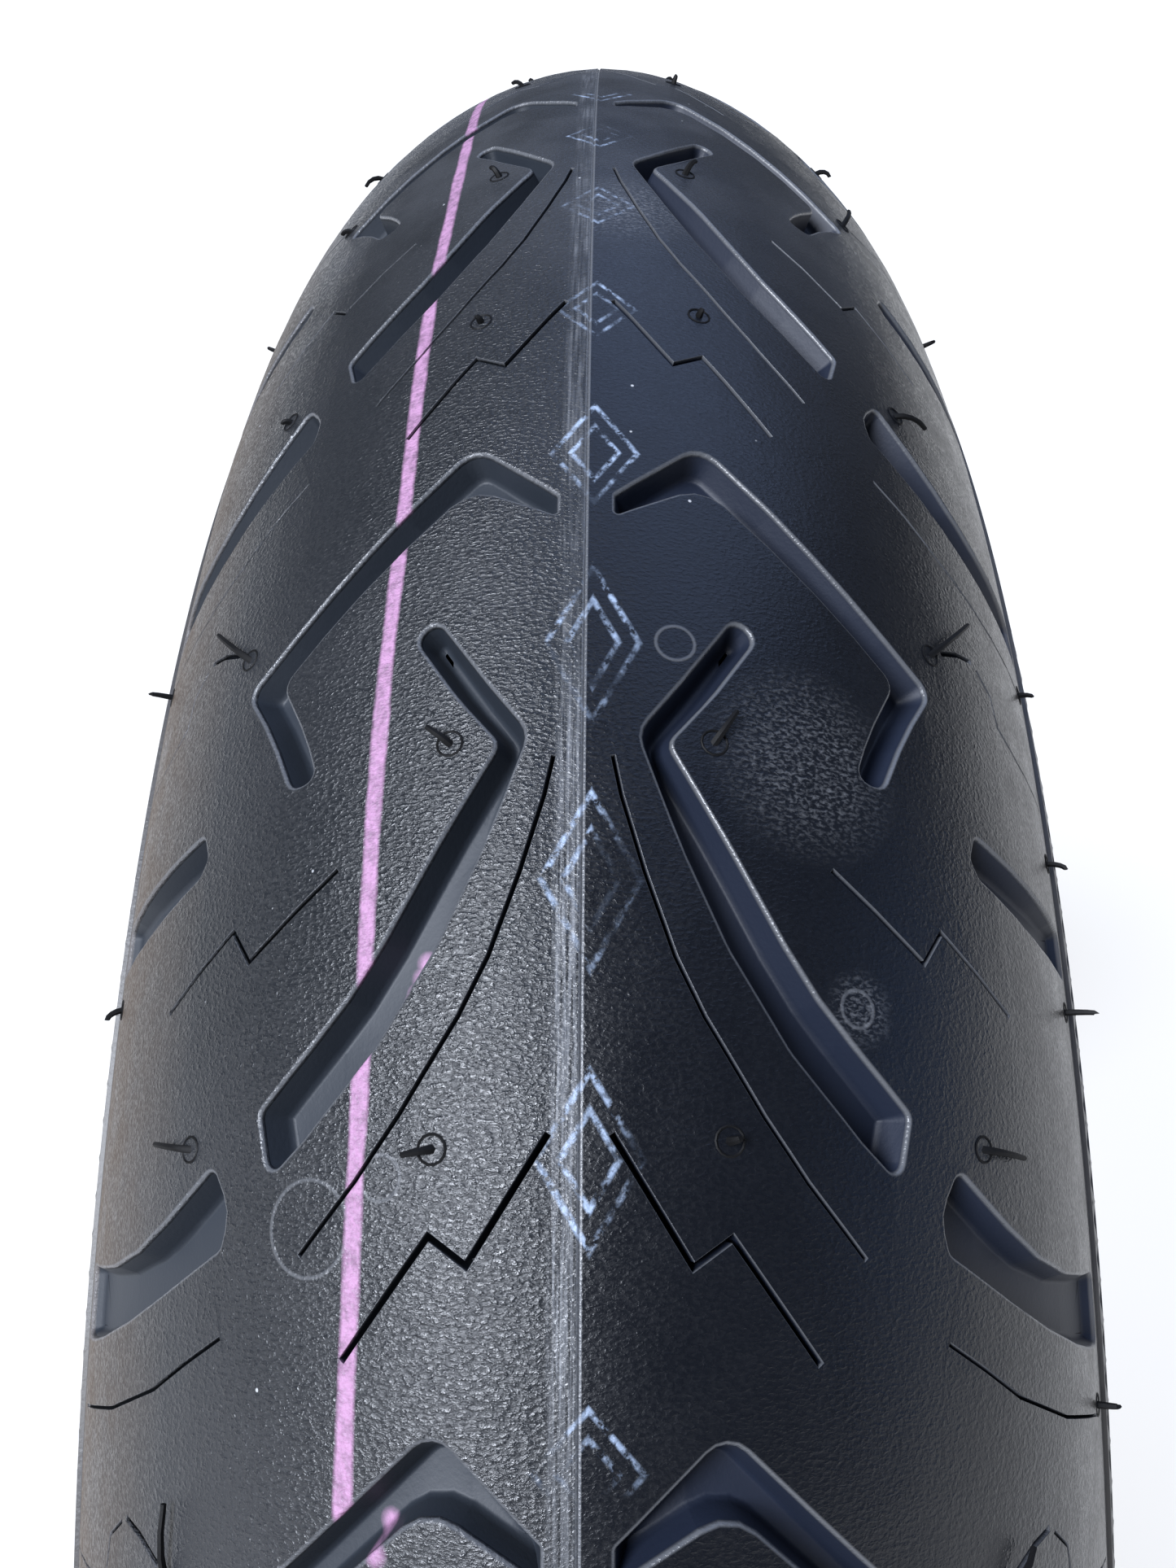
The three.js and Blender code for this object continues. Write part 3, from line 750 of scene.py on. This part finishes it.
def tread_material(scene):
    """Tread compound, moulded: satin black rubber with a leathery grain on the land and smooth grooves. The
    left half is greyer as painted light, the right half darker and bluer as painted shade, and less grained."""
    tones = scene.tire_colours
    material, tree, shader = new_material("tread_compound_moulded")
    parts = add(tree, "SeparateXYZ", {0: add(tree, "UVMap", uv_map="flat_tread")})
    across = parts.outputs[0]
    half_way = PITCHES * PITCH * MM / 2
    around = add(tree, "Math", {0: parts.outputs[1], 1: half_way, 2: -half_way}, operation="WRAP")
    flat = add(tree, "CombineXYZ", {0: across, 1: around})
    away = add(tree, "Math", {0: across}, operation="ABSOLUTE")
    depth = add(tree, "Attribute", attribute_name="groove_depth").outputs["Fac"]
    place = add(tree, "TexCoord").outputs["Object"]
    land = add(tree, "MapRange", {0: depth, 1: 0.35, 2: 0.7, 3: 1.0, 4: 0.0})
    # A painted highlight on the rounded rims of the grooves.
    rim = add(tree, "MapRange", {0: depth, 1: 0.0, 2: 0.07})
    for share in (land, 0.4):
        rim = add(tree, "Math", {0: rim, 1: share}, operation="MULTIPLY")
    right = add(tree, "MapRange", {0: across, 1: -0.0003, 2: 0.0003})
    # Blotches about 60 mm wide, smudges about 8 mm wide and wear about 1.5 mm wide.
    blotch, smudge, worn = (
        add(tree, "TexNoise", {"Vector": place, "Scale": scale, "Detail": detail, "Roughness": roughness})
        for scale, detail, roughness in ((17.0, 4.0, 0.6), (120.0, 5.0, 0.65), (650.0, 4.0, 0.7)))
    # Leathery grain: pebbles 0.8 mm long across the tread and 0.4 mm long round it, and round ones 0.6 mm
    # wide on the shoulders.
    stretched = add(tree, "Mapping", {0: flat, 3: (1300.0, 2300.0, 1.0)})
    wrinkle = add(tree, "TexNoise", {"Vector": stretched, "Scale": 1.0, "Detail": 3.0, "Roughness": 0.55,
                                     "Distortion": 0.4})
    pebble = add(tree, "TexNoise", {"Vector": place, "Scale": 1700.0, "Detail": 2.0, "Roughness": 0.6})
    outward = add(tree, "MapRange", {0: away, 1: 0.026, 2: 0.058})
    grain = add(tree, "Mix", {0: outward, 2: wrinkle, 3: pebble}, data_type="FLOAT")
    grain = add(tree, "Math", {0: grain, 1: land}, operation="MULTIPLY")

    # Grey bloom in blotches, nearly all of it on the left: partly real bloom and partly painted light on the
    # lit left half.
    bloom = add(tree, "MapRange", {0: blotch, 1: 0.35, 2: 0.7, 4: 0.5})
    bloom = add(tree, "Math", {0: bloom, 1: add(tree, "MapRange", {0: right, 3: 1.0, 4: 0.08})},
                operation="MULTIPLY")
    # Pale grey patches lie on the land, from 120 mm round the tread onwards.
    pale_patches = add(tree, "MapRange", {0: around, 1: 0.120, 2: 0.190})
    pale_patches = add(tree, "Math", {0: pale_patches, 1: add(tree, "MapRange", {0: blotch, 1: 0.45, 2: 0.6, 4: 0.18})},
              operation="MULTIPLY")
    # Brown dust on the shoulders, thicker on the left.
    dusty = add(tree, "MapRange", {0: across, 1: -0.054, 2: -0.086, 4: 0.8})
    dusty = add(tree, "Math", {0: dusty, 1: add(tree, "MapRange", {0: across, 1: 0.062, 2: 0.09, 4: 0.3})},
                operation="ADD")
    uneven = add(tree, "MapRange", {0: smudge, 1: 0.3, 2: 0.6, 3: 0.5, 4: 1.0})
    dusty = add(tree, "Math", {0: dusty, 1: uneven}, operation="MULTIPLY")
    # Wrinkled rubs on the land.
    rub = 0.0
    for spot, reach, fade in RUBS:
        rub = add(tree, "Math", {0: rub, 1: around_spot(tree, flat, spot, reach, fade)}, operation="MAXIMUM")
    for share in (add(tree, "MapRange", {0: wrinkle, 1: 0.46, 2: 0.72, 4: 0.26}), land):
        rub = add(tree, "Math", {0: rub, 1: share}, operation="MULTIPLY")
    rings = ring_marks(tree, flat)
    mark = middle_marks(tree, across, around, smudge, worn)
    # Painted light and shade: the left half is the lit copy of the rubber, the right half the shaded one.
    colour = add(tree, "Mix", {0: right, 6: tones.left_land_lit, 7: tones.right_land_shaded}, data_type="RGBA")
    for amount, tone in ((bloom, linear("26272a")), (pale_patches, linear("5b5d62")), (dusty, tones.dust),
                         (parting_strip(tree, flat, across, smudge), tones.scuff),
                         (rub, tones.scuff), (rings, tones.scuff), (mark, tones.mark)):
        colour = add(tree, "Mix", {0: amount, 6: colour.outputs[2], 7: tone}, data_type="RGBA")

    # Grooves are smooth; their lighter, bluer tone is painted light and a painted blue reflection,
    # darker on the right half as painted shade. The rounded rims carry a painted highlight.
    hollow = add(tree, "Mix", {0: right, 6: tones.groove, 7: tones.right_groove_shaded_blue}, data_type="RGBA")
    colour = add(tree, "Mix", {0: land, 6: hollow.outputs[2], 7: colour.outputs[2]}, data_type="RGBA")
    line = paint_line(tree, flat, across, around, land, smudge, worn, scene.tire_sizes.line_width)
    # White specks of dust, 0.3 mm wide and about 9 mm apart.
    specks = add(tree, "TexVoronoi", {"Vector": place, "Scale": 110.0}).outputs["Distance"]
    specks = add(tree, "MapRange", {0: specks, 1: 0.016, 2: 0.03, 3: 0.6, 4: 0.0})
    # The rims get a painted highlight; the paint line and the dust specks are real colour.
    for amount, tone in ((rim, linear("66686c")), (line, tones.line), (specks, linear("b4b6b8"))):
        colour = add(tree, "Mix", {0: amount, 6: colour.outputs[2], 7: tone}, data_type="RGBA")

    # The creases of the grain are dull and its tops are polished.
    relief = add(tree, "MapRange", {0: right, 3: 1.0, 4: 0.4})
    crease = add(tree, "MapRange", {0: grain, 1: 0.42, 2: 0.58, 3: 0.18, 4: -0.04})
    gloss = add(tree, "Mix", {0: right, 2: 0.21, 3: 0.24}, data_type="FLOAT")
    for share in (add(tree, "Math", {0: crease, 1: relief}, operation="MULTIPLY"),
                  add(tree, "MapRange", {0: smudge, 3: -0.08, 4: 0.14}),
                  add(tree, "Math", {0: dusty, 1: 0.3}, operation="MULTIPLY")):
        gloss = add(tree, "Math", {0: gloss, 1: share}, operation="ADD")
    gloss = add(tree, "Mix", {0: land, 2: 0.58, 3: gloss}, data_type="FLOAT")
    painted = add(tree, "Math", {0: line, 1: mark}, operation="MAXIMUM")
    gloss = add(tree, "Mix", {0: painted, 2: gloss, 3: 0.6}, data_type="FLOAT")
    shader.inputs["Specular IOR Level"].default_value = 0.33
    height = 0.0
    for pattern, share in ((add(tree, "Math", {0: grain, 1: relief}, operation="MULTIPLY"), 0.34),
                           (rings, 0.25), (pebble, 0.035)):
        pattern = add(tree, "Math", {0: pattern, 1: share}, operation="MULTIPLY")
        height = add(tree, "Math", {0: height, 1: pattern}, operation="ADD")
    connect(tree, shader, colour, gloss, height, 1)
    return material


def rubber(name, dark, light, roughness, grain_mm, bump_mm, patch_mm=40):
    """Black rubber with a grain of the given size and slow blotches, for compounds other than the tread's."""
    material, tree, shader = new_material(name)
    place = add(tree, "TexCoord").outputs["Object"]
    blotch = add(tree, "TexNoise", {"Vector": place, "Scale": 1000.0 / patch_mm, "Detail": 4.0})
    grain = add(tree, "TexNoise", {"Vector": place, "Scale": 1000.0 / grain_mm, "Detail": 3.0,
                                   "Roughness": 0.6})
    tone = add(tree, "MapRange", {0: blotch, 1: 0.3, 2: 0.7})
    colour = add(tree, "Mix", {0: tone, 6: dark, 7: light}, data_type="RGBA")
    gloss = add(tree, "MapRange", {0: blotch, 1: 0.3, 2: 0.7, 3: roughness - 0.06, 4: roughness + 0.08})
    connect(tree, shader, colour, gloss, grain, bump_mm)
    return material


def sidewall_material(scene):
    """Sidewall compound, moulded: smoother than the tread, with a brown bloom."""
    tones = scene.tire_colours
    return rubber("sidewall_compound_moulded", tones.sidewall, tones.bloom, 0.48, 0.8, 0.12)


def heel_material(scene):
    """Hard heel compound that rubs on the rim: dense, dark and a little polished."""
    return rubber("heel_compound_moulded", scene.tire_colours.heel, linear("2b2b2d"), 0.42, 0.5, 0.06)


def hair_material(scene):
    """Vent hairs: the same compound as the tread, thin and nearly black."""
    material = rubber("vent_hair_compound", scene.tire_colours.hair, linear("0b0b0c"), 0.6, 0.4, 0.05, 10)
    material.node_tree.nodes["Principled BSDF"].inputs["Specular IOR Level"].default_value = 0.12
    return material


def liner_material(scene):
    """Butyl inner liner, cured against a bladder: dull black with fine raised vent lines across it."""
    material, tree, shader = new_material("butyl_liner_bladder_cured")
    place = add(tree, "TexCoord").outputs["Object"]
    blotch = add(tree, "TexNoise", {"Vector": place, "Scale": 30.0, "Detail": 5.0})
    grain = add(tree, "TexNoise", {"Vector": place, "Scale": 900.0, "Detail": 2.0})
    parts = add(tree, "SeparateXYZ", {0: place})
    turn = add(tree, "Math", {0: parts.outputs[2], 1: parts.outputs[0]}, operation="ARCTAN2")
    # 420 vent lines round the tire lie 4.5 mm apart at the crown.
    wave = add(tree, "Math", {0: turn, 1: 420.0}, operation="MULTIPLY")
    wave = add(tree, "Math", {0: wave}, operation="SINE")
    lines = add(tree, "MapRange", {0: wave, 1: 0.75, 2: 1.0})
    tone = add(tree, "MapRange", {0: blotch, 1: 0.35, 2: 0.7})
    colour = add(tree, "Mix", {0: tone, 6: scene.tire_colours.liner, 7: linear("343436")},
                 data_type="RGBA")
    grain = add(tree, "Math", {0: grain, 1: 0.25}, operation="MULTIPLY")
    height = add(tree, "Math", {0: lines, 1: grain}, operation="ADD")
    connect(tree, shader, colour, 0.55, height, 0.4)
    return material


CORD_RADIUS = 0.31        # in metres, where the cords have their stated spacing


def cord_fabric(name, cord_code, rubber_code, spacing_mm, slant):
    """Rubbered cord: parallel cords that show as ridges through a thin skin, laid at a slant to the tread."""
    material, tree, shader = new_material(name)
    parts = add(tree, "SeparateXYZ", {0: add(tree, "TexCoord").outputs["Object"]})
    turn = add(tree, "Math", {0: parts.outputs[2], 1: parts.outputs[0]}, operation="ARCTAN2")
    around = add(tree, "Math", {0: turn, 1: CORD_RADIUS}, operation="MULTIPLY")
    lean = add(tree, "Math", {0: parts.outputs[1], 1: slant}, operation="MULTIPLY")
    along = add(tree, "Math", {0: around, 1: lean}, operation="ADD")
    phase = add(tree, "Math", {0: along, 1: 2 * math.pi / (spacing_mm * MM)}, operation="MULTIPLY")
    ridge = add(tree, "MapRange", {0: add(tree, "Math", {0: phase}, operation="SINE"), 1: -1.0, 2: 1.0})
    colour = add(tree, "Mix", {0: ridge, 6: linear(rubber_code), 7: linear(cord_code)}, data_type="RGBA")
    connect(tree, shader, colour, 0.6, ridge, 0.3)
    return material


def bead_wire():
    """Brass-plated steel bead wire, drawn and wound: fine turns 1 mm apart round the core, painted darker
    between the turns as painted shade.
    """
    material, tree, shader = new_material("brass_plated_bead_wire")
    parts = add(tree, "SeparateXYZ", {0: add(tree, "TexCoord").outputs["Object"]})
    squares = [add(tree, "Math", {0: parts.outputs[k], 1: 2.0}, operation="POWER") for k in (0, 2)]
    radius = add(tree, "Math", {0: squares[0], 1: squares[1]}, operation="ADD")
    radius = add(tree, "Math", {0: radius}, operation="SQRT")
    turns = add(tree, "Math", {0: radius, 1: parts.outputs[1]}, operation="ADD")
    turns = add(tree, "Math", {0: turns, 1: 2 * math.pi / MM}, operation="MULTIPLY")
    turns = add(tree, "Math", {0: turns}, operation="SINE")
    # Painted shade: the brass is darker in the hollows between the turns.
    colour = add(tree, "Mix", {0: add(tree, "MapRange", {0: turns, 1: -1.0}), 6: linear("6b5334"),
                               7: linear("c9a063")}, data_type="RGBA")
    shader.inputs["Metallic"].default_value = 1.0
    connect(tree, shader, colour, 0.35, turns, 0.2, 0.7)
    return material


def packed_section(node):
    """The closed (axial, radial) outline, in millimetres, of a packed ring, read at one of its corners."""
    mesh = node.data
    points = [node.matrix_world @ vertex.co / MM for vertex in mesh.vertices]
    turns = [math.atan2(point.z, point.x) for point in points]
    keys = [(round(point.y, 2), round(math.hypot(point.x, point.z), 2)) for point in points]
    joined = {}
    for edge in mesh.edges:
        one, other = edge.vertices
        if all(abs(turns[k] - turns[0]) < 1e-3 for k in (one, other)) and keys[one] != keys[other]:
            joined.setdefault(keys[one], set()).add(keys[other])
            joined.setdefault(keys[other], set()).add(keys[one])
    outline = [keys[0]]
    while True:
        onward = [key for key in sorted(joined[outline[-1]]) if key not in outline]
        if not onward:
            return outline
        outline.append(onward[0])


def build_carcass():
    """The layers under the tread and sidewalls, as smooth rings in their cord, wire or rubber finish."""
    cushion = rubber("cushion_compound_calendered", linear("202124"), linear("2e2f32"), 0.55, 1.2, 0.1)
    filler = rubber("bead_filler_compound", linear("18191b"), linear("262729"), 0.5, 1.0, 0.08)
    plies = [cord_fabric("nylon_body_ply_" + k, "4a4438", "1d1d1f", 1.0, lean)
             for k, lean in (("inner", 0.35), ("outer", -0.35))]
    belts = [cord_fabric("aramid_belt_" + k, "8f7f45", "222224", 1.2, lean)
             for k, lean in (("inner", 2.2), ("outer", -2.2))]
    fabric = cord_fabric("woven_bead_fabric", "5c5548", "232325", 0.8, 1.0)
    wire = bead_wire()
    finishes = {"tread_base": cushion, "belt_outer": belts[1], "belt_inner": belts[0],
                "body_ply_outer": plies[1], "body_ply_inner": plies[0]}
    for side in ("left", "right"):
        finishes["belt_edge_strip_" + side] = cushion
        finishes["bead_core_" + side] = wire
        finishes["bead_filler_" + side] = filler
        finishes["bead_wrap_" + side] = fabric
        finishes["chafer_" + side] = fabric
    slots = {part["node"]: part["material_slot"] for part in frame["record"]["subparts"]}
    for name, material in finishes.items():
        piece = spun(name + "_layer", packed_section(frame["nodes"][name]), LAYER_STEPS)
        smooth(piece, 20)
        finish_piece(piece, slots[name], material, name)


# ---------------------------------------------------------------- stage

CAMERA_YAW, CAMERA_PITCH, CAMERA_ROLL = -0.0231, -0.2735, -0.0053
CAMERA_PLACE = (3.97, 0, 466.9)     # across, around and out from the wheel axis, in millimetres
CAMERA_LENS = 30.77
FLOOR_GLOW, SKY_STRENGTH = 0.72, 0.18
SUN_STRENGTH, SUN_SPREAD, SUN_TOWARD = 11.0, math.radians(30), (0.54, -0.51, 0.67)
LAMPS_AROUND = (0.15, 0, 0.15)      # the point that the area lights face, in metres
# (name, direction from that point, distance, size, radiance, colour) of each area light.
AREA_LIGHTS = [("blue_side", (0.1, 0.95, 0.25), 1.8, (1.2, 0.7), 0.6, "7fb0ff"),
               ("rear_window", (-0.85, 0.25, 0.45), 1.8, (1.6, 0.9), 0.12, "c4d6ff"),
               ("overhead", (-0.38, 0.22, 0.88), 1.8, (1.7, 1.5), 1.9, "a9c2f5")]


def area_light(name, toward, distance, size, radiance, code):
    light = bpy.data.lights.new(name, "AREA")
    light.shape, light.size, light.size_y = "RECTANGLE", size[0], size[1]
    light.energy = radiance * math.pi * size[0] * size[1]
    light.color = linear(code)[:3]
    lamp = bpy.data.objects.new(name, light)
    way = Vector(toward).normalized()
    lamp.location = Vector(LAMPS_AROUND) + way * distance
    lamp.rotation_euler = way.to_track_quat("Z", "Y").to_euler()
    bpy.context.scene.collection.objects.link(lamp)


def build_stage(scene):
    clear_selection()
    bpy.ops.mesh.primitive_plane_add(size=60, location=(0, 0, -OUTER_RADIUS * MM - 0.0001))
    floor = bpy.context.object
    floor.name = "studio_floor"
    material, tree, shader = new_material("matt_white_floor")
    shader.inputs["Base Color"].default_value = scene.tire_colours.floor
    shader.inputs["Roughness"].default_value = 0.9
    shader.inputs["Emission Color"].default_value = (1, 1, 1, 1)
    shader.inputs["Emission Strength"].default_value = FLOOR_GLOW
    floor.data.materials.append(material)
    world = bpy.data.worlds.new("pale_studio")
    world.use_nodes = True
    background = world.node_tree.nodes["Background"]
    background.inputs[0].default_value = linear("dbe3f2")
    background.inputs[1].default_value = SKY_STRENGTH
    bpy.context.scene.world = world
    sun = bpy.data.lights.new("soft_key", "SUN")
    sun.energy, sun.angle, sun.color = SUN_STRENGTH, SUN_SPREAD, linear("edf3ff")[:3]
    lamp = bpy.data.objects.new("soft_key", sun)
    lamp.rotation_euler = Vector(SUN_TOWARD).to_track_quat("Z", "Y").to_euler()
    bpy.context.scene.collection.objects.link(lamp)
    for light in AREA_LIGHTS:
        area_light(*light)
    sine, cosine = math.sin(PATTERN_START), math.cos(PATTERN_START)
    to_world = Matrix(((0, -sine, cosine), (1, 0, 0), (0, cosine, sine)))
    tilt = (Matrix.Rotation(CAMERA_ROLL, 3, "Z") @ Matrix.Rotation(CAMERA_PITCH, 3, "X")
            @ Matrix.Rotation(CAMERA_YAW, 3, "Y"))
    axes = to_world @ tilt.transposed()
    camera = bpy.data.objects.new("tread_camera", bpy.data.cameras.new("tread_camera"))
    camera.data.lens = CAMERA_LENS
    camera.data.clip_start = 0.01
    camera.matrix_world = Matrix.Translation(to_world @ Vector(CAMERA_PLACE) * MM) @ axes.to_4x4()
    bpy.context.scene.collection.objects.link(camera)
    bpy.context.scene.camera = camera
    bpy.context.scene.view_settings.view_transform = "Standard"


# ---------------------------------------------------------------- add-on

class TIRE_OT_tread(bpy.types.Operator):
    """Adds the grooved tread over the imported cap"""
    bl_idname = "tire.tread"
    bl_label = "Tread"

    def execute(self, context):
        build_tread(context.scene)
        return {"FINISHED"}


class TIRE_OT_sidewalls(bpy.types.Operator):
    """Adds both sidewalls with their rings and knurled bands"""
    bl_idname = "tire.sidewalls"
    bl_label = "Sidewalls"

    def execute(self, context):
        build_sidewalls(context.scene)
        return {"FINISHED"}


class TIRE_OT_rim_cushions(bpy.types.Operator):
    """Adds the hard rubber rings that seat on the rim"""
    bl_idname = "tire.rim_cushions"
    bl_label = "Rim Cushions"

    def execute(self, context):
        build_rim_cushions(context.scene)
        return {"FINISHED"}


class TIRE_OT_liner(bpy.types.Operator):
    """Adds the inner liner from bead to bead"""
    bl_idname = "tire.liner"
    bl_label = "Inner Liner"

    def execute(self, context):
        build_liner(context.scene)
        return {"FINISHED"}


class TIRE_OT_vent_hairs(bpy.types.Operator):
    """Adds the vent hairs and the rings round their roots"""
    bl_idname = "tire.vent_hairs"
    bl_label = "Vent Hairs"

    def execute(self, context):
        build_vent_hairs(context.scene)
        return {"FINISHED"}


class TIRE_OT_carcass(bpy.types.Operator):
    """Adds the plies, belts, beads and fillers inside the tire"""
    bl_idname = "tire.carcass"
    bl_label = "Carcass Layers"

    def execute(self, context):
        build_carcass()
        return {"FINISHED"}


class TIRE_OT_stage(bpy.types.Operator):
    """Adds the floor, the lights and the camera"""
    bl_idname = "tire.stage"
    bl_label = "Stage"

    def execute(self, context):
        build_stage(context.scene)
        return {"FINISHED"}


OPERATORS = [TIRE_OT_tread, TIRE_OT_sidewalls, TIRE_OT_rim_cushions, TIRE_OT_liner, TIRE_OT_vent_hairs,
             TIRE_OT_carcass, TIRE_OT_stage]


class TIRE_PT_build(bpy.types.Panel):
    """Sizes, colours and the steps that build the tire"""
    bl_idname = "TIRE_PT_build"
    bl_label = "Motorcycle Tire"
    bl_space_type = "VIEW_3D"
    bl_region_type = "UI"
    bl_category = "Tire"

    def draw(self, context):
        for group in (context.scene.tire_sizes, context.scene.tire_colours):
            column = self.layout.column()
            for name in group.bl_rna.properties.keys():
                if name not in ("rna_type", "name"):
                    column.prop(group, name)
        for operator in OPERATORS:
            self.layout.operator(operator.bl_idname)


CLASSES = [TireSizes, TireColours, *OPERATORS, TIRE_PT_build]


def register():
    for kind in CLASSES:
        bpy.utils.register_class(kind)
    bpy.types.Scene.tire_sizes = PointerProperty(type=TireSizes)
    bpy.types.Scene.tire_colours = PointerProperty(type=TireColours)


def unregister():
    del bpy.types.Scene.tire_colours
    del bpy.types.Scene.tire_sizes
    for kind in reversed(CLASSES):
        bpy.utils.unregister_class(kind)


def main():
    register()
    bpy.ops.tire.tread()
    bpy.ops.tire.sidewalls()
    bpy.ops.tire.rim_cushions()
    bpy.ops.tire.liner()
    bpy.ops.tire.vent_hairs()
    bpy.ops.tire.carcass()
    bpy.ops.tire.stage()


if __name__ == "__main__":
    main()
